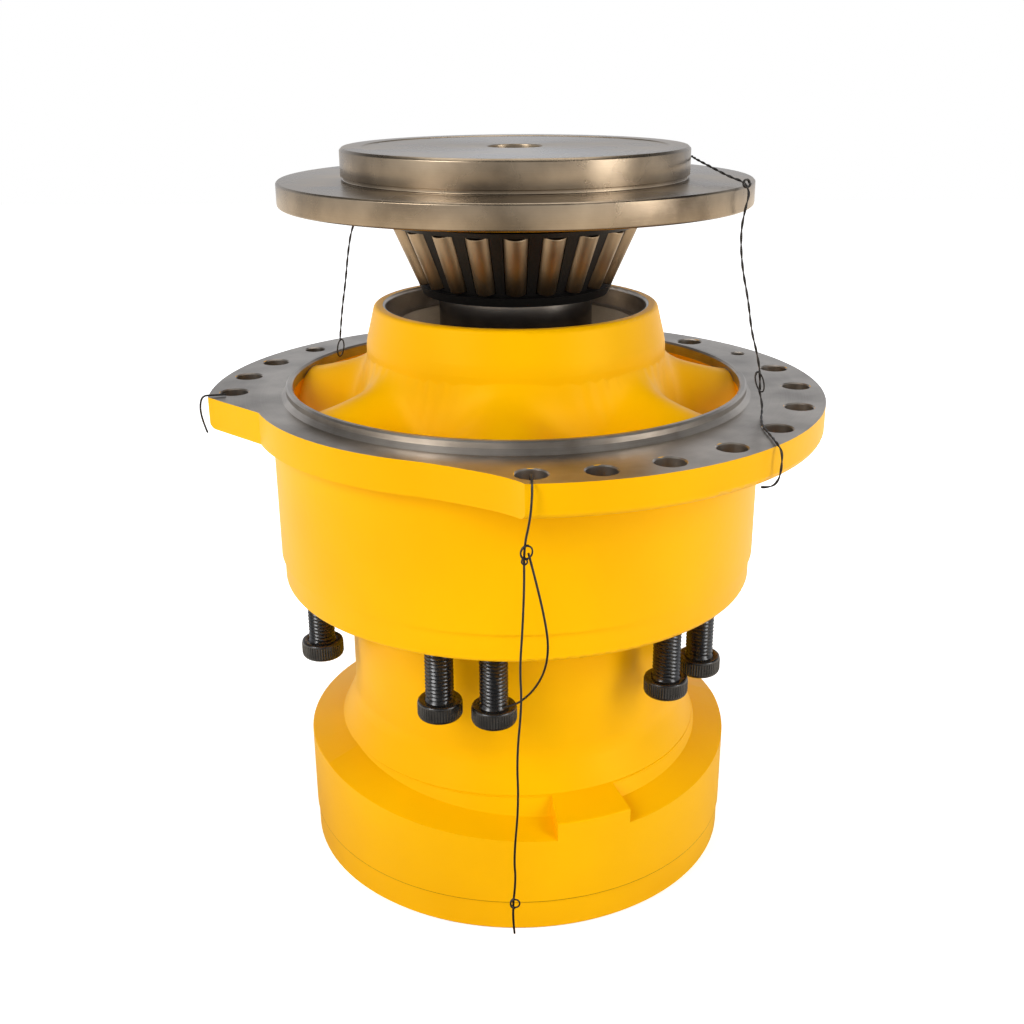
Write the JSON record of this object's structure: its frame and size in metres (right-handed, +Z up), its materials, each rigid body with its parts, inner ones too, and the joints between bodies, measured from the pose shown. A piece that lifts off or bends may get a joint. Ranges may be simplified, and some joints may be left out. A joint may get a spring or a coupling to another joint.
{
  "type": "hydraulic drive motor",
  "caption": "Radial piston hydraulic wheel motor with flange housing, brake base and output plate, shown with its shaft and bearing drawn up and case screws backed out.",
  "frame": {"origin": "centre of the end cover's flat bottom face, on the axis of the machine", "axes": "+Z up along the shaft towards the output plate, -Y towards the front with the cut-back of the flange at the front left, +X to the right"},
  "size_m": [0.4101, 0.4103, 0.4816],
  "materials": {
    "yellow_paint": "satin enamel over cast iron",
    "turned_steel": "turned, lightly oiled",
    "bearing_steel": "ground",
    "dark_steel": "dark, oiled",
    "black_oxide": "black oxide",
    "raw_iron": "machined",
    "iron_wire": "annealed",
    "seal_rubber": "nitrile",
    "friction_lining": "sintered lining"
  },
  "bodies": {
    "housing": {"bearing_support": "yellow_paint", "rear_housing": "yellow_paint", "case_dowels": "bearing_steel", "case_oring": "seal_rubber", "end_cover": "yellow_paint", "cover_oring": "seal_rubber", "cover_screws": "black_oxide", "release_plug": "black_oxide", "distributor": "raw_iron", "distributor_seals": "seal_rubber", "distributor_spring": "dark_steel", "cam_ring": "turned_steel", "cam_ring_pins": "bearing_steel", "outboard_cup": "bearing_steel", "inboard_cup": "bearing_steel", "brake_torque_pins": "bearing_steel", "brake_steel_plates": "turned_steel", "brake_disc_springs": "dark_steel", "tie_wire_front": "iron_wire", "tie_wire_screw": "iron_wire", "tie_wire_flange": "iron_wire", "tie_wire_corner": "iron_wire"},
    "rotor": {"cylinder_block": "raw_iron", "pistons": "turned_steel", "cam_rollers": "bearing_steel", "brake_shaft": "turned_steel", "brake_hub": "turned_steel", "brake_friction_discs": "friction_lining", "inboard_cone": "dark_steel", "lock_nut": "dark_steel"},
    "shaft": {"output_shaft": "turned_steel", "bearing_spacer": "dark_steel", "shaft_seal": "seal_rubber", "outboard_cone": "dark_steel", "tie_wire_plate": "iron_wire", "tie_wire_hub": "iron_wire"},
    "outboard_roller_set": {"outboard_rollers": "bearing_steel", "outboard_cage": "dark_steel"},
    "inboard_roller_set": {"inboard_rollers": "bearing_steel", "inboard_cage": "dark_steel"},
    "case_screw_set": {"case_screws": "black_oxide"},
    "brake_ram": {"brake_piston": "raw_iron", "brake_piston_seals": "seal_rubber"}
  },
  "joints": [
    {"name": "shaft_spin", "type": "hinge", "parent": "housing", "child": "rotor", "pos_m": [0, 0, 0.24], "axis": [0, 0, 1], "continuous": true},
    {"name": "shaft_seating", "type": "slide", "parent": "rotor", "child": "shaft", "axis": [0, 0, 1], "range_m": [-0.0622, 0], "deforming": ["tie_wire_plate", "tie_wire_hub"]},
    {"name": "outboard_cage_spin", "type": "hinge", "parent": "shaft", "child": "outboard_roller_set", "pos_m": [0, 0, 0.415], "axis": [0, 0, 1], "continuous": true},
    {"name": "inboard_cage_spin", "type": "hinge", "parent": "housing", "child": "inboard_roller_set", "pos_m": [0, 0, 0.288], "axis": [0, 0, 1], "continuous": true},
    {"name": "case_screw_seating", "type": "slide", "parent": "housing", "child": "case_screw_set", "axis": [0, 0, 1], "range_m": [0, 0.0378]},
    {"name": "brake_release", "type": "slide", "parent": "housing", "child": "brake_ram", "axis": [0, 0, 1], "range_m": [-0.002, 0], "deforming": ["brake_disc_springs"]}
  ],
  "couplings": [
    {"joint": "outboard_cage_spin", "follows": "shaft_spin", "ratio": -0.551},
    {"joint": "inboard_cage_spin", "follows": "shaft_spin", "ratio": 0.453}
  ]
}
